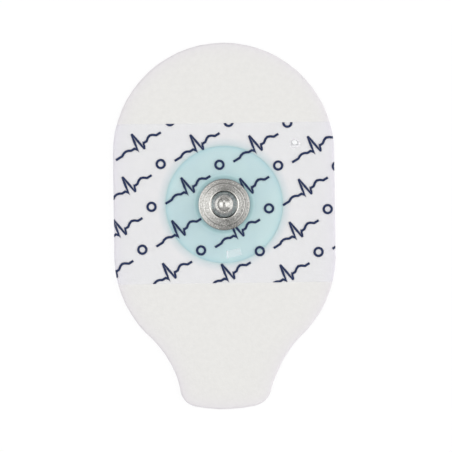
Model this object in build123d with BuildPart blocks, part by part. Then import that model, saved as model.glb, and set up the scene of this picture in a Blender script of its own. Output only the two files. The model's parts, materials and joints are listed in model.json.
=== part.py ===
"""Snap ECG electrode: a foam pad with a pull tab, a film strip, a gel disc and a pressed snap stud.

Millimetres. The pad lies flat with its skin side on z = 0. The origin is on the stud's axis, +Z points
out of the stud, +Y towards the pad's round end and -Y towards the tab.
"""

import os
from math import acos, asin, cos, degrees, radians, sin, sqrt, tan

from build123d import *

# Pad outline: a round-ended body whose lower arc flows through two neck arcs into the tab
pad_width = 34.4
body_length = 50.3
tab_reach = 6.65
neck_width = 13.28
neck_radius = 17.1
tab_corner_radius = 3.1
tab_end_radius = 22.8

# Foam: the die's blade pinches its top edge to a bevel
foam_thickness = 1.0
gel_cell_diameter = 18.2
edge_bevel = 0.2

# Film strip, laid across the pad with its middle a little above the stud's axis
film_width = 24.85
film_shift = 0.225
film_thickness = 0.1
film_hole_clearance = 0.03

# Gel
gel_recess = 0.05

# Snap stud, pressed from one sheet and drawn by its top face, from the rim in to the crown. Its flange,
# a ring and a shelf with a step between them, rises a little all the way in. The root is the hollow
# curve from the flange up to the narrow neck, the brow is the curve out of it under the head, and the
# land is the head's straight band. A bend is the inside radius of a corner that the top face goes round
# the outside of. Slopes are in degrees from level
stud_sheet = 0.2
stud_rim_bevel = 0.05
stud_flange_slope = 5.3
stud_ring_width = 0.65
stud_step_slope = 30
stud_step_rise = 0.12
stud_shelf_width = 0.79
stud_root_radius = 0.7
stud_undercut = 0.28
stud_brow_bend = 0.1
stud_head_radius = 2.0
stud_land_length = 0.4
stud_shoulder_bend = 0.15
stud_shoulder_slope = 55
stud_crest_bend = 0.06
stud_dish_radius = 1.03
stud_dish_depth = 0.38

# Sensor eyelet: a disc under the film and a post through it, whose end is upset inside the stud's head
eyelet_disc_radius = 3.9
eyelet_disc_thickness = 0.45
eyelet_disc_bevel = 0.15
eyelet_post_clearance = 0.02
eyelet_upset_clearance = 0.1
eyelet_upset_bevel = 0.25

os.makedirs("parts", exist_ok=True)

film_top = foam_thickness + film_thickness
pad_end_radius = pad_width / 2
pad_end_centre = body_length / 2 - pad_end_radius


def along(start, towards, distance):
    """The point at a distance from start on the way towards another point."""
    return start + (towards - start).normalized() * distance


def circles_meet(centre_a, radius_a, centre_b, radius_b):
    """The crossing of two circles that lies to the right of the way from a to b."""
    gap = (centre_b - centre_a).length
    reach = (gap**2 + radius_a**2 - radius_b**2) / (2 * gap)
    rise = sqrt(radius_a**2 - reach**2)
    way = (centre_b - centre_a).normalized()
    return centre_a + way * reach + Vector(way.Y, -way.X) * rise


# Centres of the right-hand arcs, each from its tangency with the arc before it, then where they meet
body_centre = Vector(0, -pad_end_centre)
neck_out = neck_width / 2 + neck_radius
neck_down = sqrt((pad_end_radius + neck_radius) ** 2 - neck_out**2)
neck_centre = Vector(neck_out, -pad_end_centre - neck_down)
tab_end_centre = Vector(0, tab_end_radius - body_length / 2 - tab_reach)
corner_centre = circles_meet(
    tab_end_centre, tab_end_radius - tab_corner_radius, neck_centre, neck_radius + tab_corner_radius
)
side_start = Vector(pad_end_radius, pad_end_centre)
side_end = Vector(pad_end_radius, -pad_end_centre)
body_to_neck = along(body_centre, neck_centre, pad_end_radius)
neck_to_corner = along(neck_centre, corner_centre, neck_radius)
corner_to_end = along(tab_end_centre, corner_centre, tab_end_radius)
end_to_corner = Vector(-corner_to_end.X, corner_to_end.Y)

with BuildSketch() as pad_outline:
    with BuildLine():
        Line(side_start, side_end)
        RadiusArc(side_end, body_to_neck, pad_end_radius)
        RadiusArc(body_to_neck, neck_to_corner, -neck_radius)
        RadiusArc(neck_to_corner, corner_to_end, tab_corner_radius)
        mirror(about=Plane.YZ)
        RadiusArc(corner_to_end, end_to_corner, tab_end_radius)
        CenterArc((0, pad_end_centre), pad_end_radius, 0, 180)
    make_face()


def pad_blank(height):
    """The die-cut outline up to a height, with the bevel that the die leaves on its top edge."""
    with BuildPart() as blank:
        add(pad_outline.sketch)
        extrude(amount=height)
        chamfer(blank.faces().sort_by(Axis.Z)[-1].edges(), length=edge_bevel)
    return blank.part


foam_blank = pad_blank(foam_thickness)
laminate_blank = pad_blank(film_top)

# Snap stud: radii of the top face. The root's arc turns past upright by as much as the brow turns back,
# and together they carry the sheet out from the neck to the head
brow_radius = stud_brow_bend + stud_sheet
shoulder_radius = stud_shoulder_bend + stud_sheet
crest_radius = stud_crest_bend + stud_sheet
dish_arc_radius = (stud_dish_radius**2 + stud_dish_depth**2) / (2 * stud_dish_depth)
brow_turn = degrees(acos(1 - stud_undercut / (stud_root_radius + brow_radius)))
dish_turn = degrees(asin(stud_dish_radius / dish_arc_radius))

# Snap stud: radii and heights of the flange's corners, from the neck out and from the rim in
flange_slope = radians(stud_flange_slope)
neck_top_radius = stud_head_radius - stud_undercut
root_start = neck_top_radius + stud_root_radius * (1 - sin(flange_slope))
shelf_radius = root_start + stud_shelf_width
ring_inner_radius = shelf_radius + stud_step_rise / tan(radians(stud_step_slope))
flange_radius = ring_inner_radius + stud_ring_width
rim_top = film_top + stud_sheet * cos(flange_slope) - stud_rim_bevel * sin(flange_slope)
ring_inner_top = rim_top + stud_ring_width * tan(flange_slope)
shelf_top = ring_inner_top + stud_step_rise
root_start_top = shelf_top + stud_shelf_width * tan(flange_slope)

# Snap stud: the length of the cone between shoulder and crest
shoulder_run = shoulder_radius * (1 - sin(radians(stud_shoulder_slope)))
crest_run = crest_radius * (sin(radians(stud_shoulder_slope)) + sin(radians(dish_turn)))
cone_run = stud_head_radius - shoulder_run - crest_run - stud_dish_radius
cone_length = cone_run / cos(radians(stud_shoulder_slope))

with BuildPart() as snap_stud:
    with BuildSketch(Plane.XZ):
        with BuildLine():
            flange = Polyline(
                (flange_radius, rim_top),
                (ring_inner_radius, ring_inner_top),
                (shelf_radius, shelf_top),
                (root_start, root_start_top),
            )
            root_turn = stud_flange_slope - 90 - brow_turn
            root = JernArc(flange @ 1, flange % 1, stud_root_radius, root_turn)
            brow = JernArc(root @ 1, root % 1, brow_radius, brow_turn)
            land = Line(brow @ 1, brow @ 1 + (brow % 1) * stud_land_length)
            shoulder = JernArc(land @ 1, land % 1, shoulder_radius, 90 - stud_shoulder_slope)
            cone = Line(shoulder @ 1, shoulder @ 1 + (shoulder % 1) * cone_length)
            crest = JernArc(cone @ 1, cone % 1, crest_radius, stud_shoulder_slope + dish_turn)
            dish = JernArc(crest @ 1, crest % 1, dish_arc_radius, -dish_turn)
            offset(amount=stud_sheet, side=Side.LEFT, kind=Kind.INTERSECTION)
        section = make_face()
        chamfer(section.vertices().sort_by(Axis.X)[-2:], length=stud_rim_bevel)
    revolve(axis=Axis.Z)
snap_stud.part.label = "snap_stud"

# Sensor eyelet: its sizes follow the inside of the stud
post_radius = neck_top_radius - stud_sheet - eyelet_post_clearance
upset_radius = stud_head_radius - stud_sheet - eyelet_upset_clearance
upset_start = (land @ 0).Y
upset_end = upset_start + upset_radius - post_radius
post_end = (dish @ 1).Y - stud_sheet
disc_bottom = foam_thickness - eyelet_disc_thickness

with BuildPart() as sensor_eyelet:
    with BuildSketch(Plane.XZ):
        with BuildLine():
            Polyline(
                (0, disc_bottom),
                (eyelet_disc_radius, disc_bottom),
                (eyelet_disc_radius, foam_thickness),
                (post_radius, foam_thickness),
                (post_radius, upset_start),
                (upset_radius, upset_end),
                (upset_radius, post_end),
                (0, post_end),
                close=True,
            )
        make_face()
    revolve(axis=Axis.Z)
    chamfer(sensor_eyelet.faces().sort_by(Axis.Z)[0].edges(), length=eyelet_disc_bevel)
    chamfer(sensor_eyelet.faces().sort_by(Axis.Z)[-1].edges(), length=eyelet_upset_bevel)
sensor_eyelet.part.label = "sensor_eyelet"

# Foam pad with the round cell punched through it
with BuildPart() as foam_backing:
    add(foam_blank)
    with BuildSketch():
        Circle(gel_cell_diameter / 2)
    extrude(amount=foam_thickness, mode=Mode.SUBTRACT)
foam_backing.part.label = "foam_backing"

# Film strip: what stands above the foam's blank, cut to the strip's width and pierced for the post
with BuildPart() as film_strip:
    add(laminate_blank)
    add(foam_blank, mode=Mode.SUBTRACT)
    with BuildSketch():
        with Locations((0, film_shift)):
            Rectangle(pad_width, film_width)
        Circle(post_radius + film_hole_clearance, mode=Mode.SUBTRACT)
    extrude(amount=film_top, mode=Mode.INTERSECT)
film_strip.part.label = "film_strip"

# Gel disc, cast in the cell round the eyelet's disc and a little short of the skin
with BuildPart() as hydrogel:
    with BuildSketch(Plane.XY.offset(gel_recess)):
        Circle(gel_cell_diameter / 2)
    extrude(amount=foam_thickness - gel_recess)
    add(sensor_eyelet.part, mode=Mode.SUBTRACT)
hydrogel.part.label = "hydrogel"

export_step(foam_backing.part, "parts/foam_backing.step")
export_step(film_strip.part, "parts/film_strip.step")
export_step(hydrogel.part, "parts/hydrogel.step")
export_step(sensor_eyelet.part, "parts/sensor_eyelet.step")
export_step(snap_stud.part, "parts/snap_stud.step")
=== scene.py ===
"""Looks of the snap ECG electrode, round its CAD model: foam pad, gel, eyelet, film, print and stud.

Metres, in the CAD model's frame: the stud's axis is Z, the skin side is at z = 0, the tab points to -Y.
"""

import json
from math import atan2, cos, pi, radians, sin, tan

import bpy
import numpy as np
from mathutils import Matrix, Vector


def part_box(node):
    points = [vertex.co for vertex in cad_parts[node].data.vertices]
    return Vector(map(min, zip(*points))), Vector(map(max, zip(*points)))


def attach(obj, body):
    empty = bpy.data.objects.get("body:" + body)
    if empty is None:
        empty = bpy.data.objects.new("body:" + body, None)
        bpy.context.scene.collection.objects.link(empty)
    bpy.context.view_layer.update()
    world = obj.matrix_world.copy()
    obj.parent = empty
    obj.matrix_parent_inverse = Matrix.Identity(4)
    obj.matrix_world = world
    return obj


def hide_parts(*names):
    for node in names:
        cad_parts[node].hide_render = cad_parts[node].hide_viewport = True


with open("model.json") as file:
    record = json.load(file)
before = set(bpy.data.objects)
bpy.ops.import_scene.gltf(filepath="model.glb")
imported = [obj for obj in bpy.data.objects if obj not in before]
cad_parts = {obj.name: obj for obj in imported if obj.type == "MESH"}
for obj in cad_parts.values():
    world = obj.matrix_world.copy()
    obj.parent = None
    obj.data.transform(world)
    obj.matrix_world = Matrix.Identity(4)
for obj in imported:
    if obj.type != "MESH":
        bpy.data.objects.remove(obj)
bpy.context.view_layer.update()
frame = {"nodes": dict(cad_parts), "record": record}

mm = 0.001

# Foam backing: closed-cell polyethylene foam, white and matt, with a skin adhesive on its underside.
# It is die cut to the pad's outline with a round cell for the gel, and the blade leaves its top edge
# rolled over. Round the cell a bluish-grey halo is painted into the foam: the gel's blue light carried
# into it, and shade.
foam_low, foam_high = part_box("foam_backing")
foam_top = foam_high.z
body_radius = foam_high.x
body_centre_y = foam_high.y - body_radius
cell_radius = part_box("hydrogel")[1].x
neck_half_width = 6.64 * mm
neck_radius = 17.1 * mm
tab_corner_radius = 3.1 * mm
tab_end_radius = 22.8 * mm
roll_width = 0.34 * mm
roll_drop = 0.30 * mm
shoulder_width = 2.2 * mm
shoulder_drop = 0.10 * mm
border_width = 1.0 * mm
foot_round = 0.06 * mm
unevenness = 0.012 * mm
lie_waves = [(0.5, 5.1, 6.3, 0.3), (0.5, 5.1, -6.3, 1.1), (0.6, 2.9, -3.7, 1.9), (0.4, 1.9, 2.3, 0.3)]
clamped_radius = 4.5 * mm
cut_waver = 0.02 * mm
tab_lean = -0.3 * mm
tab_lean_start = -24.5 * mm
tab_lean_power = 1.5
nick_place = np.array([11.42, -19.0]) * mm
nick_size = 0.22 * mm
nick_depth = 0.30 * mm
halo_reach = 1.35 * mm
foam_cell = 0.3 * mm
foam_cell_depth = 0.05 * mm
foam_mottle = 0.6 * mm
outline_points = 900
tiny = 1e-9


def arc(centre, radius, start, end, count=200):
    """Points of a circular arc: centre plus radius times the unit vector at each angle, start to end."""
    angle = np.linspace(start, end, count)
    return np.asarray(centre) + radius * np.stack([np.cos(angle), np.sin(angle)], -1)


def circles_meet(centre_a, radius_a, centre_b, radius_b):
    """The crossing of two circles on the right of the way from a to b, by the cosine rule."""
    way = centre_b - centre_a
    gap = np.hypot(*way)
    way = way / gap
    reach = (gap**2 + radius_a**2 - radius_b**2) / (2 * gap)
    rise = np.sqrt(radius_a**2 - reach**2)
    return centre_a + reach * way + rise * np.array([way[1], -way[0]])


def pad_outline(count):
    """The pad's outline, anticlockwise from the top at even steps of length, and its outward normals.

    The right half is a chain of tangent arcs: round end, straight side, lower body, neck, tab corner and
    tab end. The left half is its mirror image. Even steps come from interpolation over summed length.
    """
    neck_x = neck_half_width + neck_radius
    neck_drop = np.sqrt((body_radius + neck_radius) ** 2 - neck_x**2)
    neck_centre = np.array([neck_x, -body_centre_y - neck_drop])
    tab_centre = np.array([0, foam_low.y + tab_end_radius])
    corner = circles_meet(
        tab_centre, tab_end_radius - tab_corner_radius, neck_centre, neck_radius + tab_corner_radius
    )
    to_neck = atan2(-neck_drop, neck_x)
    to_corner = atan2(corner[1] - neck_centre[1], corner[0] - neck_centre[0])
    from_tab = atan2(corner[1] - tab_centre[1], corner[0] - tab_centre[0])
    half = np.concatenate([
        arc((0, body_centre_y), body_radius, pi / 2, 0),
        arc((0, -body_centre_y), body_radius, 0, to_neck),
        arc(neck_centre, neck_radius, to_neck + pi, to_corner % (2 * pi)),
        arc(corner, tab_corner_radius, to_corner + pi if to_corner < 0 else to_corner - pi, from_tab),
        arc(tab_centre, tab_end_radius, from_tab, -pi / 2),
    ])
    whole = np.concatenate([half * (-1, 1), half[::-1]])
    step = np.hypot(*np.diff(whole, axis=0).T)
    whole = whole[np.append(True, step > tiny)]
    length = np.append(0, np.cumsum(step[step > tiny]))
    at = np.linspace(0, length[-1], count, endpoint=False)
    points = np.stack([np.interp(at, length, whole[:, k]) for k in (0, 1)], -1)
    tangent = np.roll(points, -1, 0) - np.roll(points, 1, 0)
    tangent /= np.hypot(*tangent.T)[:, None]
    return points, np.stack([tangent[:, 1], -tangent[:, 0]], -1)


def lie(x, y):
    """How unevenly the soft pad lies: a sum of slow cosine waves, flat where the stud's flange clamps it.

    Each wave has its share, the millimetres along x and along y that turn it by a radian, and its phase.
    """
    waves = sum(
        share * np.cos(x / (along_x * mm) + y / (along_y * mm) + phase)
        for share, along_x, along_y, phase in lie_waves
    )
    away = np.clip((np.hypot(x, y) - clamped_radius) / clamped_radius, 0, 1)
    return unevenness * waves * away


def edge_fall(inset):
    """How far the top has dropped at an inset from the cut edge: a quarter ellipse where the blade
    rolled it over, and a slow square-law slope further in."""
    roll = 1 - np.clip(inset / roll_width, 0, 1)
    slope = 1 - np.clip(inset / shoulder_width, 0, 1)
    return roll_drop * (1 - np.sqrt(1 - roll**2)) + shoulder_drop * slope**2


def roll_insets(count):
    """Insets from the roll's inner end to the cut edge, at even angles of the roll's quarter ellipse."""
    return roll_width * (1 - np.sin(np.linspace(0, pi / 2, count)))


def finished(name, points, faces, sharp=35):
    """An object at the origin with these points and faces, smooth but for edges sharper than an angle."""
    mesh = bpy.data.meshes.new(name)
    mesh.from_pydata(points, [], faces)
    mesh.shade_smooth()
    mesh.set_sharp_from_angle(angle=radians(sharp))
    piece = bpy.data.objects.new(name, mesh)
    bpy.context.collection.objects.link(piece)
    return piece


def quads_of(rows, columns, wrap_rows):
    """Corner numbers of the quads over a grid whose columns close on themselves, facing up where the
    rows run outwards and the columns anticlockwise."""
    at = np.arange(rows * columns).reshape(rows, columns)
    here = at if wrap_rows else at[:-1]
    after = np.roll(at, -1, 0) if wrap_rows else at[1:]
    return np.stack([here, after, np.roll(after, -1, 1), np.roll(here, -1, 1)], -1).reshape(-1, 4)


def ring_solid(name, rings):
    """A closed solid from rings of points that follow its section all the way round."""
    grid = np.stack([np.column_stack([ring, height]) for ring, height in rings])
    return finished(name, grid.reshape(-1, 3), quads_of(*grid.shape[:2], True))


def foam_rings():
    """The pad's section as rings: over the top to the outline, down the rolled edge and side, back along
    the underside and up the cell's wall.

    As far as the shoulder a ring is a straight mix of the cell's circle and the outline. From there its
    inset from the outline is exact, so that the roll has one shape all round. The cut edge wavers inwards
    by cosines of the way round, has a bell-shaped nick, and leans to the left over the tab by a power of
    the way down it.
    """
    edge, normal = pad_outline(outline_points)
    turn = np.arange(outline_points) * 2 * pi / outline_points
    waver = np.cos(31 * turn + 1.0) * np.cos(7 * turn) + 0.5 * np.cos(83 * turn) - 1.5
    nick = np.exp(-((np.hypot(*(edge - nick_place).T) / nick_size) ** 2))
    edge = edge + normal * (cut_waver * waver - nick_depth * nick)[:, None]
    tab_share = np.clip((edge[:, 1] - tab_lean_start) / (foam_low.y - tab_lean_start), 0, 1)
    edge[:, 0] += tab_lean * tab_share**tab_lean_power
    inner = cell_radius * edge / np.hypot(*edge.T)[:, None]
    shoulder = edge - normal * shoulder_width
    foot = edge - normal * foot_round
    level = np.ones(outline_points)

    rings = []
    for share in np.linspace(0, 1, 44, endpoint=False):
        ring = inner + (shoulder - inner) * share
        rings.append((ring, foam_top + lie(*ring.T)))
    for inset in (*np.linspace(shoulder_width, roll_width, 8, endpoint=False), *roll_insets(11)):
        ring = edge - normal * inset
        rings.append((ring, foam_top + lie(*ring.T) - edge_fall(inset)))
    roll_end = rings[-1][1]
    for share in (0.35, 0.7):
        rings.append((edge, roll_end + (foot_round - roll_end) * share))
    for angle in np.linspace(0, pi / 2, 4):
        rings.append((
            edge - normal * foot_round * (1 - cos(angle)), level * foot_round * (1 - sin(angle))
        ))
    for share in np.linspace(1, 0, 12)[1:]:
        rings.append((inner + (foot - inner) * share, level * 0))
    for share in (0.3, 0.6, 0.85):
        rings.append((inner, level * foam_top * share))
    return rings


def linear(code):
    """A hex sRGB colour as linear RGBA."""
    value = np.array([int(code[k:k + 2], 16) for k in (1, 3, 5)]) / 255
    value = np.where(value <= 0.04045, value / 12.92, ((value + 0.055) / 1.055) ** 2.4)
    return (*value.tolist(), 1.0)


def add_node(material, kind, inputs=None, **settings):
    """Adds a node, sets its settings, and sets its inputs to values or links them to output sockets."""
    node = material.node_tree.nodes.new(kind)
    for key, value in settings.items():
        setattr(node, key, value)
    for key, value in (inputs or {}).items():
        if isinstance(value, bpy.types.NodeSocket):
            material.node_tree.links.new(value, node.inputs[key])
        else:
            node.inputs[key].default_value = value
    return node


def new_material(name):
    """A material with no nodes but the Object coordinates that its patterns follow."""
    material = bpy.data.materials.new(name)
    material.use_nodes = True
    material.node_tree.nodes.clear()
    return material, add_node(material, "ShaderNodeTexCoord").outputs["Object"]


def shade(material, **sockets):
    """Ends a material in a Principled shader whose sockets are set or linked."""
    named = {key.replace("_", " "): value for key, value in sockets.items()}
    shader = add_node(material, "ShaderNodeBsdfPrincipled", named)
    add_node(material, "ShaderNodeOutputMaterial", {"Surface": shader.outputs[0]})
    return material


def ramp(material, factor, stops):
    """A colour ramp over a factor, with stops of (position, hex colour)."""
    node = add_node(material, "ShaderNodeValToRGB", {"Fac": factor})
    elements = node.color_ramp.elements
    while len(elements) < len(stops):
        elements.new(1)
    for element, (position, code) in zip(elements, stops):
        element.position = position
        element.color = linear(code)
    return node.outputs["Color"]


def times(material, colour, tone):
    """Two colours multiplied."""
    return add_node(
        material, "ShaderNodeVectorMath", {0: colour, 1: tone}, operation="MULTIPLY"
    ).outputs[0]


def axis_share(material, place, reach):
    """The distance from the stud's axis as a share of a reach, for ramps that ring the stud."""
    flat = add_node(material, "ShaderNodeVectorMath", {0: place, 1: (1, 1, 0)}, operation="MULTIPLY")
    far = add_node(material, "ShaderNodeVectorMath", {0: flat.outputs[0]}, operation="LENGTH")
    return add_node(
        material, "ShaderNodeMath", {0: far.outputs["Value"], 1: reach}, operation="DIVIDE"
    ).outputs[0]


def places(piece):
    """The x, y and z of each point of a piece."""
    at = np.empty(len(piece.data.vertices) * 3)
    piece.data.vertices.foreach_get("co", at)
    return at.reshape(-1, 3)


def paint(piece, name, worth):
    """Gives each point of a piece a number that a function works out from its x, y and z."""
    layer = piece.data.attributes.new(name, "FLOAT", "POINT")
    layer.data.foreach_set("value", worth(*places(piece).T))


def nearness(x, y, _):
    """How near the cut edge a point is: e to the minus inset over the border's width, with the inset taken
    square to the outline at the nearest of its points."""
    edge, normal = pad_outline(240)
    at = np.stack([x, y], -1)
    nearest = ((edge**2).sum(-1) - 2 * at @ edge.T).argmin(1)
    inset = ((edge[nearest] - at) * normal[nearest]).sum(-1)
    return np.exp(-np.clip(inset, 0, None) / border_width)


def polyethylene_foam():
    """Closed-cell polyethylene foam, skived: matt white, dappled very softly by its cells, a little lilac
    and darker towards its cut edge, and with a painted bluish-grey halo round the cell, for the gel's blue
    light carried into the foam and its shade."""
    material, place = new_material("closed_cell_polyethylene_foam")
    reach = cell_radius + halo_reach
    rim = cell_radius / reach
    # The ramp paints a bluish-grey halo round the cell: the gel's blue light carried into the foam, and
    # shade.
    tinted = ramp(material, axis_share(material, place, reach), [
        (0, "#c3d8d8"), (rim, "#c5dbdb"), (rim + 0.04, "#dae1e3"), (1, "#edecec"),
    ])
    # The foam is a little lilac and darker towards its cut edge, within about a millimetre.
    border = add_node(material, "ShaderNodeAttribute", attribute_name="border").outputs["Fac"]
    tinted = times(material, tinted, ramp(material, border, [(0, "#fffffc"), (1, "#fcf9fd")]))
    mottle = add_node(
        material, "ShaderNodeTexNoise", {"Vector": place, "Scale": 1 / foam_mottle, "Detail": 4.0}
    )
    tone = ramp(material, mottle.outputs["Fac"], [(0.3, "#fbfbfb"), (0.7, "#ffffff")])
    cells = add_node(
        material, "ShaderNodeTexVoronoi", {"Vector": place, "Scale": 1 / foam_cell}, feature="SMOOTH_F1"
    )
    bump = add_node(
        material, "ShaderNodeBump",
        {"Height": cells.outputs["Distance"], "Strength": 0.25, "Distance": foam_cell_depth},
    )
    return shade(
        material, Base_Color=times(material, tinted, tone), Roughness=0.72, Specular_IOR_Level=0.3,
        Normal=bump.outputs["Normal"],
    )


foam = ring_solid("foam_pad", foam_rings())
paint(foam, "border", nearness)
foam.data.materials.append(polyethylene_foam())
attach(foam, "root")
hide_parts("foam_backing")

# Gel: a disc of wet, pale blue hydrogel, poured into the foam's cell and set there. It has crept up the
# cell's wall a little; there its colour is painted deeper, partly for the gel's depth and partly for the
# wall's shadow, and a contact shadow is painted round the flange.
gel_low, gel_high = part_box("hydrogel")
eyelet_low, eyelet_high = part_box("sensor_eyelet")
gel_gap = 0.01 * mm
gel_dip = 0.06 * mm
gel_creep = 0.9 * mm
gel_creep_share = 0.6
gel_cloud = 5 * mm


def turned(name, profile, columns=360, sharp=35):
    """A solid of revolution about Z. The profile is (radius, height) from the top's centre outwards and
    back to the underside's centre, and the two centres are closed with fans."""
    radius, height = np.asarray(profile)[1:-1].T
    turn = np.arange(columns) * 2 * pi / columns
    rings = np.stack([
        radius[:, None] * np.cos(turn), radius[:, None] * np.sin(turn), height[:, None] + 0 * turn
    ], -1)
    rows = len(radius)
    points = np.concatenate([rings.reshape(-1, 3), [(0, 0, profile[0][1]), (0, 0, profile[-1][1])]])
    first = np.arange(columns)
    last = first + (rows - 1) * columns
    top = np.stack([np.full(columns, rows * columns), first, np.roll(first, -1)], -1)
    under = np.stack([last, np.full(columns, rows * columns + 1), np.roll(last, -1)], -1)
    faces = quads_of(rows, columns, False).tolist() + top.tolist() + under.tolist()
    return finished(name, points, faces, sharp)


def gel_profile():
    """Top level with the eyelet's disc, dipping outwards by a sine and creeping up the cell's wall by a
    square, which takes back a share of the dip; a plain side and underside; and the recess that the
    eyelet's disc sits in."""
    outer = gel_high.x - gel_gap
    disc = eyelet_high.x + gel_gap
    radius = np.linspace(disc, outer, 60)
    dip = np.sin(np.clip((radius - disc) / (outer - gel_creep - disc), 0, 1) * pi / 2)
    creep = np.clip((radius - outer + gel_creep) / gel_creep, 0, 1) ** 2
    top = gel_high.z - gel_gap - gel_dip * dip * (1 - gel_creep_share * creep)
    seat = eyelet_low.z - gel_gap
    return [
        (0, seat), (disc * 0.5, seat), (disc, seat), *zip(radius, top),
        (outer, gel_low.z), (outer * 0.6, gel_low.z), (outer * 0.3, gel_low.z), (0, gel_low.z),
    ]


def hydrogel():
    """Cross-linked hydrogel, cast wet: smooth, glossy and cloudy blue, with a contact shadow painted round
    the flange, and deeper at the wall, partly for the gel's depth there and partly a painted shadow of the
    wall. Broad, faint clouds keep it from looking painted."""
    material, place = new_material("cast_hydrogel")
    pressed = eyelet_high.x / cell_radius
    # The ramp paints a contact shadow round the flange's edge, and a darker ring at the wall: partly the
    # gel's depth there, partly the wall's painted shadow.
    depth = ramp(material, axis_share(material, place, cell_radius), [
        (pressed + 0.05, "#a5c8c8"), (pressed + 0.075, "#bbd8d8"), (pressed + 0.16, "#c4dedc"),
        (0.9, "#cae3e1"), (0.955, "#c4e1df"), (0.985, "#b9dadb"), (1, "#b3d5d6"),
    ])
    clouds = add_node(
        material, "ShaderNodeTexNoise", {"Vector": place, "Scale": 1 / gel_cloud, "Detail": 3.0}
    )
    tone = ramp(material, clouds.outputs["Fac"], [(0.35, "#f6f8fb"), (0.65, "#ffffff")])
    return shade(
        material, Base_Color=times(material, depth, tone), Roughness=0.18, IOR=1.38,
    )


gel = turned("gel_disc", gel_profile())
gel.data.materials.append(hydrogel())
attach(gel, "root")
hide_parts("hydrogel")

# Sensor eyelet: moulded plastic, plated with silver and chlorided to a dull grey. It lies in the gel,
# and its post comes up through the film and is upset inside the stud. Its CAD form is kept.
chloride_cloud = 0.6 * mm


def silver_chloride():
    """Silver plate turned to silver chloride: dull, cloudy grey with hardly any gloss."""
    material, place = new_material("silver_chloride_coat")
    clouds = add_node(
        material, "ShaderNodeTexNoise", {"Vector": place, "Scale": 1 / chloride_cloud, "Detail": 5.0}
    )
    colour = ramp(material, clouds.outputs["Fac"], [(0.3, "#8a8787"), (0.7, "#a19f9c")])
    return shade(material, Base_Color=colour, Roughness=0.65, Metallic=0.3)


eyelet = frame["nodes"]["sensor_eyelet"]
for slot in eyelet.material_slots:
    slot.material = silver_chloride()

# Film: clear polyester film with a printed face, laminated over foam and gel and die cut with them.
# It is trimmed straight across above and below, clamped under the stud's flange, and lies over the gel
# with a shallow dip, one air pocket and one small blister.
film_low, film_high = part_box("film_strip")
stud_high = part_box("snap_stud")[1]
film_body = 0.09 * mm
post_hole_radius = 1.53 * mm
film_columns = 480
film_ripple = 0.9 * mm
film_ripple_depth = 0.02 * mm
flange_dip = 0.035 * mm
flange_dip_offset = 0.45 * mm
flange_dip_width = 0.3 * mm
gel_dip_depth = 0.03 * mm
gel_dip_outer_edge = 1.2 * mm
gel_dip_inner_edge = 0.8 * mm
blister_place = np.array([11.07, 9.28]) * mm
blister_radius = 0.6 * mm
blister_height = 0.16 * mm
blister_glint_offset = np.array([0, 0.15]) * mm
blister_glint_width = 0.34 * mm
blister_foot_radius = 0.54 * mm
blister_foot_width = 0.1 * mm
pocket_corners = np.array([(0.22, -7.18), (0.32, -8.40), (2.73, -7.88), (2.38, -6.71)]) * mm
pocket_height = 0.045 * mm
pocket_edge = 0.22 * mm
pocket_haze = 0.15
# Painted light on the film: a highlight along the air pocket's left side, a white glint on the blister and
# a grey shade ring round its foot.
pocket_edge_painted_highlight = 0.25
pocket_edge_highlight_inset = 0.1 * mm
pocket_edge_highlight_width = 0.13 * mm
blister_glint_paint = 2.0
blister_foot_painted_shade = 0.6
film_veil = 0.05
film_veil_aslant = 0.25


def pocket_depth(x, y):
    """How far inside the air pocket a point is: the least of its distances from the four sides, which
    run anticlockwise, and negative outside."""
    sides = np.roll(pocket_corners, -1, 0) - pocket_corners
    inward = np.stack([-sides[:, 1], sides[:, 0]], -1) / np.hypot(*sides.T)[:, None]
    return np.min([
        (x - corner[0]) * way[0] + (y - corner[1]) * way[1] for corner, way in zip(pocket_corners, inward)
    ], axis=0)


def bell(distance, width):
    """A smooth bell: e to the minus square of distance over width."""
    return np.exp(-((distance / width) ** 2))


def film_height(x, y):
    """Height of the film's top: the foam's lie and rolled edge, less a flat dip over the gel and a bell
    just outside the flange, plus a blister domed by a squared parabola, and the air pocket, which rises
    inside its sides by a parabola."""
    away = np.hypot(x, y)
    inset = body_radius - np.hypot(x, np.clip(np.abs(y) - body_centre_y, 0, None))
    dip = gel_dip_depth * np.clip((cell_radius - away) / gel_dip_outer_edge, 0, 1)
    dip = dip * np.clip((away - stud_high.x) / gel_dip_inner_edge, 0, 1)
    near_flange = flange_dip * bell(away - stud_high.x - flange_dip_offset, flange_dip_width)
    off = np.clip(np.hypot(x - blister_place[0], y - blister_place[1]) / blister_radius, 0, 1)
    inside = np.clip(pocket_depth(x, y) / pocket_edge, 0, 1)
    return (
        film_high.z + lie(x, y) - edge_fall(inset) - dip - near_flange
        + blister_height * (1 - off**2) ** 2 + pocket_height * inside * (2 - inside)
    )


def film_haze_and_painted_light(x, y, _):
    """How milky the film is, with light and shade painted in: evenly milky over the air pocket, with a
    painted highlight along its left side, and on the blister a painted white glint at a spot above its
    middle and a painted grey shade ring round its foot."""
    depth = pocket_depth(x, y)
    left_side = pocket_corners[:2, 0].mean() + pocket_edge_highlight_inset
    left = bell(x - left_side, pocket_edge_highlight_width) * (depth > 0)
    at = np.stack([x, y], -1) - blister_place
    spot = bell(np.hypot(*(at - blister_glint_offset).T), blister_glint_width)
    foot = bell(np.hypot(*at.T) - blister_foot_radius, blister_foot_width)
    return (
        pocket_haze * np.clip(depth / (0.5 * pocket_edge), 0, 1) + pocket_edge_painted_highlight * left
        + blister_glint_paint * spot + blister_foot_painted_shade * foot
    )


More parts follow.
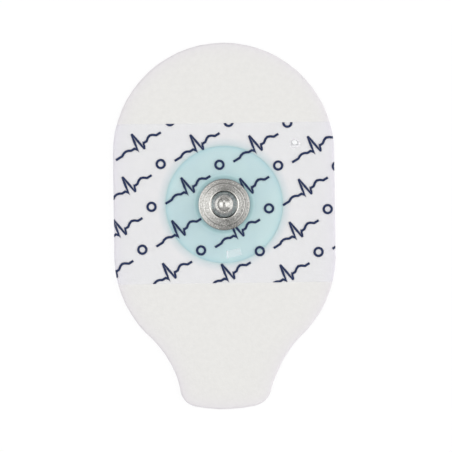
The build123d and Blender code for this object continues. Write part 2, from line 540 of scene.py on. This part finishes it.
def film_reach(turn):
    """Distance from the stud's axis to the film's border in each direction: the nearer of the straight
    trims above and below and the pad's outline, which is straight beside the stud and round beyond."""
    up, out = np.abs(np.sin(turn)), np.abs(np.cos(turn))
    trim = np.where(np.sin(turn) > 0, film_high.y, -film_low.y) / np.maximum(up, tiny)
    flat = body_radius / np.maximum(out, tiny)
    round_end = body_centre_y * up + np.sqrt(body_radius**2 - (body_centre_y * out) ** 2)
    return np.minimum(trim, np.where(flat * up <= body_centre_y, flat, round_end))


def film_rings():
    """The film's section as rings: out over its top from the post's hole to the border, down the cut edge
    and back underneath. Rings are even shares of the way out, then exact insets over the rolled edge."""
    border_y = (film_high.y, film_low.y)
    border_x = [np.sqrt(body_radius**2 - (abs(y) - body_centre_y) ** 2) for y in border_y]
    corners = [atan2(y, side * x) for x, y in zip(border_x, border_y) for side in (1, -1)]
    turn = np.sort(np.append(np.linspace(-pi, pi, film_columns, endpoint=False), corners))
    reach = film_reach(turn)
    start = reach - shoulder_width
    across = [post_hole_radius + 0 * turn, 0.6 * stud_high.x + 0 * turn]
    across += [stud_high.x + (start - stud_high.x) * share for share in np.linspace(0, 1, 84)]
    across += [reach - inset for inset in np.linspace(shoulder_width, roll_width, 8)[1:-1]]
    across += [reach - inset for inset in roll_insets(9)]
    rings = []
    for far in across:
        ring = np.stack([far * np.cos(turn), far * np.sin(turn)], -1)
        rings.append((ring, film_height(*ring.T)))
    return rings + [(ring, height - film_body) for ring, height in rings[::-1]]


def printed_film():
    """Polyester film, cast clear: hardly there from above but for a cool cast and fine ripples, and
    glossier aslant, and too clear to cast a shadow. It is milky over the air pocket, where it has lifted
    off the gel, with a painted highlight along the pocket's left side; on the blister, where it has lifted
    off the foam, a white glint is painted, and a grey ring on its flank for the light it bends away."""
    material, place = new_material("clear_polyester_film")
    ripple = add_node(
        material, "ShaderNodeTexNoise", {"Vector": place, "Scale": 1 / film_ripple, "Detail": 2.0}
    )
    bump = add_node(
        material, "ShaderNodeBump",
        {"Height": ripple.outputs["Fac"], "Strength": 0.3, "Distance": film_ripple_depth},
    )
    aslant = add_node(
        material, "ShaderNodeMapRange",
        {
            "Value": add_node(material, "ShaderNodeLayerWeight").outputs["Facing"],
            "From Min": 0.5, "From Max": 1.0, "To Min": film_veil, "To Max": film_veil_aslant,
        },
    )
    haze_and_painted_light = add_node(material, "ShaderNodeAttribute", attribute_name="haze_and_painted_light").outputs["Fac"]
    # Tint by the attribute: the film's cool cast, milky white over the pocket, a grey stop that paints the
    # blister's shade ring, and white that paints its glint.
    tint = ramp(material, haze_and_painted_light, [
        (0, "#e0e5fc"), (0.12, "#f2eff6"), (0.42, "#f8f9fd"), (0.66, "#98989c"), (0.95, "#fdfeff"),
    ])
    veil = add_node(material, "ShaderNodeMath", {0: aslant.outputs[0], 1: haze_and_painted_light}, operation="ADD")
    return shade(
        material, Base_Color=tint, Roughness=0.22, IOR=1.5, Alpha=veil.outputs[0],
        Normal=bump.outputs["Normal"],
    )


film = ring_solid("clear_film", film_rings())
# Paints the air pocket's milkiness, and the film's painted highlight, glint and shade ring, onto its
# points.
paint(film, "haze_and_painted_light", film_haze_and_painted_light)
film.data.materials.append(printed_film())
film.visible_shadow = False
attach(film, "root")
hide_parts("film_strip")

# Print: navy flexographic ink on the film, in plain marks that run off its borders: rows of pulse traces
# with a ring between each two. Each stroke is a thin raised skin of ink that follows the film.
row_slope = radians(31)
row_pitch = 4.9 * mm
mark_pitch = 12.4 * mm
row_stagger = 0.38
rows_each_way = 7
marks_each_way = 4
trace_length = 8.2 * mm
trace_height = 2.1 * mm
ring_radius = 0.62 * mm
ring_rise_share = 0.35
stroke = 0.37 * mm
ink_skin = 0.006 * mm
ink_unevenness = 0.35 * mm
print_margin = 0.02 * mm
print_under_flange = 0.3 * mm
trace_shape = np.array([
    (0, 0), (0.14, 0), (0.19, 0.11), (0.24, 0.15), (0.29, 0.11), (0.34, 0), (0.41, 0), (0.445, -0.14),
    (0.51, 1), (0.575, -0.36), (0.62, 0), (0.68, 0), (0.74, 0.17), (0.79, 0.24), (0.84, 0.17), (0.9, 0),
    (1, 0),
])


def trace_stroke():
    """One pulse trace as a grid of (along, up): a line through the shape's knots, widened upright by half
    a stroke times the root of one plus slope squared, and blunted at its highest and lowest points."""
    along = np.linspace(0, 1, 190)
    up = trace_height * np.interp(along, *trace_shape.T)
    half = stroke / 2 * np.sqrt(1 + np.gradient(up, along * trace_length) ** 2)
    top = np.minimum(up + half, up.max() + stroke / 2)
    foot = np.maximum(up - half, up.min() - stroke / 2)
    share = np.linspace(0, 1, 4)[:, None]
    return np.stack([along * trace_length + 0 * share, foot + (top - foot) * share], -1)


def ring_stroke():
    """One ring as a grid of (along, up): radii across the stroke by angles round it."""
    turn = np.linspace(0, -2 * pi, 49)
    radius = ring_radius + stroke * np.linspace(-0.5, 0.5, 4)[:, None]
    middle = (trace_length + mark_pitch) / 2, trace_height * ring_rise_share
    return np.stack([middle[0] + radius * np.cos(turn), middle[1] + radius * np.sin(turn)], -1)


def print_strokes():
    """All strokes as points and quads: each mark's grid is turned to the rows' slope and stepped along and
    across them. Quads wholly off the film or under the flange are dropped, and the rest end at its
    borders."""
    points, quads, count = [], [], 0
    along = np.array([cos(row_slope), sin(row_slope)])
    across = np.array([-along[1], along[0]])
    for row in range(-rows_each_way, rows_each_way + 1):
        for step in range(-marks_each_way, marks_each_way):
            start = along * mark_pitch * (step + row_stagger * row) + across * row_pitch * row
            for grid in (trace_stroke(), ring_stroke()):
                flat = start + grid[..., :1] * along + grid[..., 1:] * across
                at = np.arange(flat[..., 0].size).reshape(flat.shape[:2]) + count
                corners = np.stack([at[:-1, :-1], at[:-1, 1:], at[1:, 1:], at[1:, :-1]], -1).reshape(-1, 4)
                points.append(flat.reshape(-1, 2))
                quads.append(corners)
                count += len(points[-1])
    points, quads = np.concatenate(points), np.concatenate(quads)
    turn = np.arctan2(points[:, 1], points[:, 0])
    away = np.hypot(*points.T)
    reach = film_reach(turn) - print_margin
    hidden = stud_high.x - print_under_flange
    on_film = (away < reach) & (away > hidden)
    quads = quads[on_film[quads].any(1)]
    away = np.clip(away, hidden, reach)
    used, quads = np.unique(quads, return_inverse=True)
    points = np.stack([away * np.cos(turn), away * np.sin(turn)], -1)[used]
    height = film_height(*points.T) + ink_skin
    return np.column_stack([points, height]), quads.reshape(-1, 4)


def navy_ink():
    """Flexographic ink, one thin pass: navy, faintly uneven, with the film's own soft gloss."""
    material, place = new_material("flexographic_navy_ink")
    lay = add_node(
        material, "ShaderNodeTexNoise", {"Vector": place, "Scale": 1 / ink_unevenness, "Detail": 3.0}
    )
    colour = ramp(material, lay.outputs["Fac"], [(0.3, "#152042"), (0.7, "#233256")])
    return shade(material, Base_Color=colour, Roughness=0.4, Specular_IOR_Level=0.3)


ink = finished("printed_marks", *print_strokes())
ink.data.materials.append(navy_ink())
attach(ink, "root")

# Snap stud: one disc of thin stainless sheet, pressed through the film's hole into a flange with a
# stepped ring, a root curve, a narrow neck and a hollow head with a dished crown. Its flange clamps the
# film, and the eyelet's post is upset inside its head.
sheet = 0.2 * mm
flange_radius = stud_high.x
rim_round = 0.09 * mm
flange_slope = 5.3
ring_width = 0.65 * mm
step_slope = 40
step_foot_radius = 0.08 * mm
step_brow_radius = 0.12 * mm
step_rise = 0.12 * mm
root_radius = 0.7 * mm
undercut = 0.28 * mm
snap_head = next(mount for mount in frame["record"]["mounts"] if mount["name"] == "snap_head")
head_radius = snap_head["dims"]["r_mm"] * mm
land_length = snap_head["dims"]["length_mm"] * mm
land_top = snap_head["pos_m"][2] + land_length / 2
brow_radius = 0.3 * mm
shoulder_radius = 0.35 * mm
shoulder_slope = 55
crest_radius = 0.26 * mm
dish_radius = 1.03 * mm
dish_depth = 0.38 * mm
# Where shade and dark reflections are painted into the stud's colour, and how dark: the crevice under the
# head, the cone, a thin ring, the dish, the root's far side, the rim and the step's foot.
crevice_radius = 2.19 * mm
crevice_edge = 0.06 * mm
crevice_top = 0.3 * mm
painted_shade_left_share = 0.1
painted_shade_right_share = 0.3
crown_radius = 1.4 * mm
cone_painted_shade = 0.65
dark_ring_radius = 1.52 * mm
dark_ring_width = 0.06 * mm
dark_ring_painted_shade = 0.35
dish_painted_shade = 0.25
dish_painted_shade_width = 0.42 * mm
root_far_radius = 2.35 * mm
root_far_width = 0.35 * mm
root_far_painted_shade = 0.3
rim_painted_shade = 0.4
step_painted_shade = 0.25
dent_side = -8
dent_half_angle = 13
dent_depth = 0.09 * mm
dent_half_height = 0.45 * mm
dent_ripple_share = 0.5
speck = 0.16 * mm
speck_depth = 0.012 * mm
punch_ring = 2.2 * mm
punch_ring_depth = 0.01 * mm
point_spacing = 0.02 * mm


def chain(start, heading, steps):
    """Points and left-hand normals along lines and arcs that follow on smoothly.

    Each step is (length, None) for a line or (radius, turn) for an arc, with the turn in degrees to the
    left. On an arc the heading turns in even steps, and each point lies on the circle through the last.
    A line has a quarter of an arc's points for its length.
    """
    at, points, headings = np.array(start, float), [], []
    for size, turn in steps:
        if turn is None:
            count = max(int(size / (4 * point_spacing)), 2)
            way = np.array([cos(heading), sin(heading)])
            share = np.linspace(0, 1, count)
            run = at + way * size * share[:, None]
            facing = np.full(count, heading)
        else:
            turn = radians(turn)
            count = max(int(size * abs(turn) / point_spacing), 6)
            facing = heading + np.linspace(0, turn, count)
            side = size * np.sign(turn)
            centre = at + side * np.array([-sin(heading), cos(heading)])
            run = centre + side * np.stack([np.sin(facing), -np.cos(facing)], -1)
            heading += turn
        points.append(run[1:] if points else run)
        headings.append(facing[1:] if headings else facing)
        at = run[-1]
    facing = np.concatenate(headings)
    return np.concatenate(points), np.stack([-np.sin(facing), np.cos(facing)], -1)


def stud_profile():
    """The sheet's section: its top face from the crown's centre out to the rim, the rim's half circle, and
    its underside back to the centre, a sheet's thickness below the top face everywhere. The underside is
    out of sight, so it has a third of the top's points."""
    brow_turn = np.degrees(np.arccos(1 - undercut / (root_radius + brow_radius)))
    dish_arc = (dish_radius**2 + dish_depth**2) / (2 * dish_depth)
    dish_turn = np.degrees(np.arcsin(dish_radius / dish_arc))
    slope = radians(shoulder_slope)
    cone_run = (
        head_radius - shoulder_radius * (1 - sin(slope)) - dish_radius
        - crest_radius * (sin(slope) + sin(radians(dish_turn)))
    )
    flat, bend = radians(flange_slope), radians(step_slope)
    bends = step_foot_radius + step_brow_radius
    step_straight = (step_rise - bends * (cos(flat) - cos(bend))) / sin(bend)
    step_run = bends * (sin(bend) - sin(flat)) + step_straight * cos(bend)
    root_run = root_radius * (1 - sin(flat))
    shelf_run = flange_radius - ring_width - step_run - root_run - head_radius + undercut
    turn = step_slope - flange_slope
    top, normal = chain(
        (flange_radius - rim_round, film_high.z + sheet), pi - flat,
        [
            ((ring_width - rim_round) / cos(flat), None), (step_foot_radius, -turn), (step_straight, None),
            (step_brow_radius, turn), (shelf_run / cos(flat), None),
            (root_radius, flange_slope - 90 - brow_turn), (brow_radius, brow_turn), (land_length, None),
            (shoulder_radius, 90 - shoulder_slope), (cone_run / cos(slope), None),
            (crest_radius, shoulder_slope + dish_turn), (dish_arc, -dish_turn),
        ],
    )
    under = (top + normal * sheet)[::-3][::-1]
    angle = np.linspace(0, pi, 9)[1:-1]
    rim = np.stack([
        flange_radius - rim_round + rim_round * np.sin(angle),
        film_high.z + sheet / 2 + sheet / 2 * np.cos(angle),
    ], -1)
    profile = np.concatenate([top[::-1], rim, under])
    profile[[0, -1], 0] = 0
    return profile


def painted_shade(x, y, z):
    """How dark shade and dark reflections are painted on the sheet: darkest in the crevice under the head,
    from the root up to the shoulder, and least at its two sides, where the side lamps light it. The head's
    cone, a thin ring round it, the dish's middle, the far side of the root, and the flange's sheared rim
    and the foot of its step are painted a little darker too."""
    far = np.hypot(x, y)
    inward = np.clip((crevice_radius - far) / crevice_edge, 0, 1)
    below = np.clip((land_top + crevice_top - z) / crevice_top, 0, 1)
    aside = np.where(x < 0, 1 - painted_shade_left_share, 1 - painted_shade_right_share) * (x / np.maximum(far, tiny)) ** 6
    cone = cone_painted_shade * np.clip((far - crown_radius) / (head_radius - crown_radius), 0, 1)
    line = dark_ring_painted_shade * bell(far - dark_ring_radius, dark_ring_width)
    dish = dish_painted_shade * bell(far, dish_painted_shade_width)
    behind = np.clip(y / np.maximum(far, tiny), 0, 1) ** 4
    root = root_far_painted_shade * behind * bell(far - root_far_radius, root_far_width) * (far > head_radius)
    rim = rim_painted_shade * np.clip((far - flange_radius + 2 * rim_round) / rim_round, 0, 1)
    step = step_painted_shade * bell(far - flange_radius + ring_width, step_foot_radius)
    dull = np.maximum.reduce([inward * below, (cone + line + dish) * (z > land_top), root, rim])
    return dull * (1 - aside) + step


def dent(piece):
    """Pushes the head's shoulder in at one side: a bell in angle and height, with a ripple across it."""
    at = places(piece)
    off = (np.degrees(np.arctan2(at[:, 1], at[:, 0])) - dent_side) / dent_half_angle
    height = (at[:, 2] - land_top - dent_half_height) / dent_half_height
    ripple = 1 + dent_ripple_share * np.cos(5 * off + 4 * height)
    push = dent_depth * bell(off, 1) * bell(height, 1) * ripple
    at[:, :2] *= 1 - (push / np.maximum(np.hypot(*at[:, :2].T), head_radius / 2))[:, None]
    piece.data.vertices.foreach_set("co", at.ravel())
    piece.data.update()


def pressed_steel():
    """Stainless sheet, pressed and tumbled bright: grey, fairly sharp in its reflections, with fine
    scratches and specks from the tumbler and faint rings from the punch. Shade and dark reflections are
    painted into its colour."""
    material, place = new_material("tumbled_stainless_sheet")
    specks = add_node(
        material, "ShaderNodeTexNoise", {"Vector": place, "Scale": 1 / speck, "Detail": 4.0}
    )
    rings = add_node(
        material, "ShaderNodeTexWave",
        {"Vector": place, "Scale": 1 / punch_ring, "Distortion": 1.5, "Detail": 2.0},
        wave_type="RINGS", rings_direction="Z",
    )
    bright = ramp(material, specks.outputs["Fac"], [(0.3, "#a6a5a1"), (0.7, "#d5d4d0")])
    # The painted shade darkens the steel's colour towards a dark grey.
    dark = add_node(material, "ShaderNodeAttribute", attribute_name="painted_shade").outputs["Fac"]
    colour = times(material, bright, ramp(material, dark, [(0, "#ffffff"), (1, "#3a3b3b")]))
    gloss = add_node(
        material, "ShaderNodeMapRange",
        {"Value": specks.outputs["Fac"], "From Min": 0.3, "From Max": 0.7, "To Min": 0.12, "To Max": 0.24},
    )
    coarse = add_node(
        material, "ShaderNodeBump",
        {"Height": rings.outputs["Fac"], "Strength": 0.3, "Distance": punch_ring_depth},
    )
    bump = add_node(
        material, "ShaderNodeBump",
        {
            "Height": specks.outputs["Fac"], "Strength": 0.8, "Distance": speck_depth,
            "Normal": coarse.outputs["Normal"],
        },
    )
    return shade(
        material, Base_Color=colour, Metallic=1.0, Roughness=gloss.outputs["Result"],
        Normal=bump.outputs["Normal"],
    )


stud = turned("snap_stud_pressing", stud_profile(), columns=288, sharp=60)
dent(stud)
# Paints shade and dark reflections onto the stud: how dark each point is painted.
paint(stud, "painted_shade", painted_shade)
stud.data.materials.append(pressed_steel())
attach(stud, "root")
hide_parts("snap_stud")

# Studio: a white floor that keeps a soft shadow, two soft boxes at the sides, a tent of grey cloth that
# only reflections show, and a camera straight above that sees the pad turned 0.79 degrees. The photo shows
# 0.1555 mm to a pixel, and is 452 pixels wide.
pixel = 0.1555 * mm
view_width = 452 * pixel
view_centre = (0.229 * mm, -3.338 * mm)
view_turn = radians(-0.79)
camera_height = 0.6
sensor_width = 36
floor_half = 3.0
background_share = 0.8
background_white = 1.04
sky_strength = 0.42
box_distance = 1.2
box_radiance = 1.23
tent_radius = 0.5
tent_horizon = 0.08
tent_middle = 0.65
tent_overhead = 0.35
overhead_rise = (0.8, 0.95)
tent_back = 1.4
front_lamp_glow = 8.0
front_lamp_y = -0.56
front_lamp_half_size = (0.05, 0.08)
tent_bright = 2.2
left_glow_out = (-0.06, 0.44)
left_glow_rise = (0.7, 0.92)
left_glow_low_share = 0.6
right_glow_out = (0.05, 0.45)
right_glow_rise = (0.3, 0.85)
side_glow_end = (0.3, 0.6)


def seen_white(owner):
    """One for camera, glossy and transmission rays, which see a plain white, and zero for the others."""
    path = add_node(owner, "ShaderNodeLightPath")
    seen = path.outputs["Is Camera Ray"]
    for other in ("Is Glossy Ray", "Is Transmission Ray"):
        seen = add_node(
            owner, "ShaderNodeMath", {0: seen, 1: path.outputs[other]}, operation="MAXIMUM"
        ).outputs[0]
    return seen


def floor_paper():
    """Seamless white paper: diffuse, with most of what the camera sees of it lifted to white."""
    material = bpy.data.materials.new("seamless_white_paper")
    material.use_nodes = True
    material.node_tree.nodes.clear()
    share = add_node(
        material, "ShaderNodeMath", {0: seen_white(material), 1: background_share}, operation="MULTIPLY"
    )
    paper = add_node(material, "ShaderNodeBsdfDiffuse", {"Color": linear("#f7f7f7")})
    white = add_node(
        material, "ShaderNodeEmission", {"Color": (1, 1, 1, 1), "Strength": background_white}
    )
    mix = add_node(
        material, "ShaderNodeMixShader", {0: share.outputs[0], 1: paper.outputs[0], 2: white.outputs[0]}
    )
    add_node(material, "ShaderNodeOutputMaterial", {"Surface": mix.outputs[0]})
    return material


floor_corners = [
    (side * floor_half, end * floor_half, 0) for side, end in ((-1, -1), (1, -1), (1, 1), (-1, 1))
]
floor = finished("floor", floor_corners, [(0, 1, 2, 3)])
floor.data.materials.append(floor_paper())

world = bpy.data.worlds.new("studio")
bpy.context.scene.world = world
world.use_nodes = True
world.node_tree.nodes.clear()
level = add_node(
    world, "ShaderNodeMapRange", {"Value": seen_white(world), "To Min": sky_strength, "To Max": 1.0}
).outputs["Result"]
sky = add_node(world, "ShaderNodeBackground", {"Color": (1, 1, 1, 1), "Strength": level})
add_node(world, "ShaderNodeOutputWorld", {"Surface": sky.outputs[0]})


def ease(value, low, high):
    """Zero below low, one above high, and the smooth cubic between them."""
    share = np.clip((value - low) / (high - low), 0, 1)
    return share * share * (3 - 2 * share)


def tent_glow(x, y, z):
    """Brightness of the tent's cloth in a direction: from the horizon up to its middle by the cube of what
    z lacks of one, less again overhead, more towards the back high up, with a small lamp in front, and
    over to the side lamps' brightness where x is large and y small, less near the floor."""
    plain = tent_middle - (tent_middle - tent_horizon) * (1 - z) ** 3
    plain = plain - (tent_middle - tent_overhead) * ease(z, *overhead_rise)
    half_width, half_depth = front_lamp_half_size
    front_lamp = front_lamp_glow * bell(x, half_width) * bell(y - front_lamp_y, half_depth)
    plain = plain * (1 + tent_back * y * z**6) + front_lamp
    left_up = left_glow_low_share + (1 - left_glow_low_share) * ease(z, *left_glow_rise)
    left = ease(-x, *left_glow_out) * left_up
    right = ease(x, *right_glow_out) * ease(z, *right_glow_rise)
    side = (left + right) * (1 - ease(np.abs(y), *side_glow_end))
    return plain + (tent_bright - plain) * side


def light_tent():
    """A half sphere of grey cloth with its glow painted on, which only glossy rays see. Its foot is
    gathered to a point below the floor."""
    zenith = np.linspace(0, pi / 2, 46)
    profile = tent_radius * np.stack([np.sin(zenith), np.cos(zenith)], -1)
    tent = turned("light_tent", [*profile, (0, -tent_radius)], columns=120)
    paint(tent, "glow", lambda x, y, z: tent_glow(x / tent_radius, y / tent_radius, abs(z) / tent_radius))
    material, _ = new_material("lit_tent_cloth")
    glow = add_node(material, "ShaderNodeAttribute", attribute_name="glow").outputs["Fac"]
    cloth = add_node(material, "ShaderNodeEmission", {"Color": (1, 1, 1, 1), "Strength": glow})
    add_node(material, "ShaderNodeOutputMaterial", {"Surface": cloth.outputs[0]})
    material.cycles.emission_sampling = "NONE"
    tent.data.materials.append(material)
    tent.visible_camera = False
    tent.visible_diffuse = False
    tent.visible_transmission = False
    tent.visible_shadow = False
    return tent


light_tent()


def soft_box(name, azimuth, zenith, width, height):
    """An area lamp that faces the stud from a direction, with a power of radiance times pi times its area.
    It lights only: the tent is what shows in reflections."""
    lamp = bpy.data.lights.new(name, "AREA")
    lamp.shape = "RECTANGLE"
    lamp.size, lamp.size_y = width, height
    lamp.energy = box_radiance * pi * width * height
    holder = bpy.data.objects.new(name, lamp)
    azimuth, zenith = radians(azimuth), radians(zenith)
    holder.location = (
        box_distance * sin(zenith) * cos(azimuth),
        box_distance * sin(zenith) * sin(azimuth),
        box_distance * cos(zenith),
    )
    holder.rotation_euler = (0, zenith, azimuth)
    holder.visible_camera = False
    holder.visible_glossy = False
    bpy.context.collection.objects.link(holder)
    return holder


soft_box("left_box", azimuth=180, zenith=33, width=1.15, height=1.9)
soft_box("right_box", azimuth=0, zenith=57, width=1.35, height=1.9)

camera_data = bpy.data.cameras.new("camera")
camera_data.sensor_width = sensor_width
camera_data.lens = sensor_width * camera_height / view_width
camera_data.clip_start = 0.01
camera = bpy.data.objects.new("camera", camera_data)
camera.location = (*view_centre, camera_height)
camera.rotation_euler = (0, 0, view_turn)
bpy.context.collection.objects.link(camera)
bpy.context.scene.camera = camera
bpy.context.scene.view_settings.view_transform = "Standard"
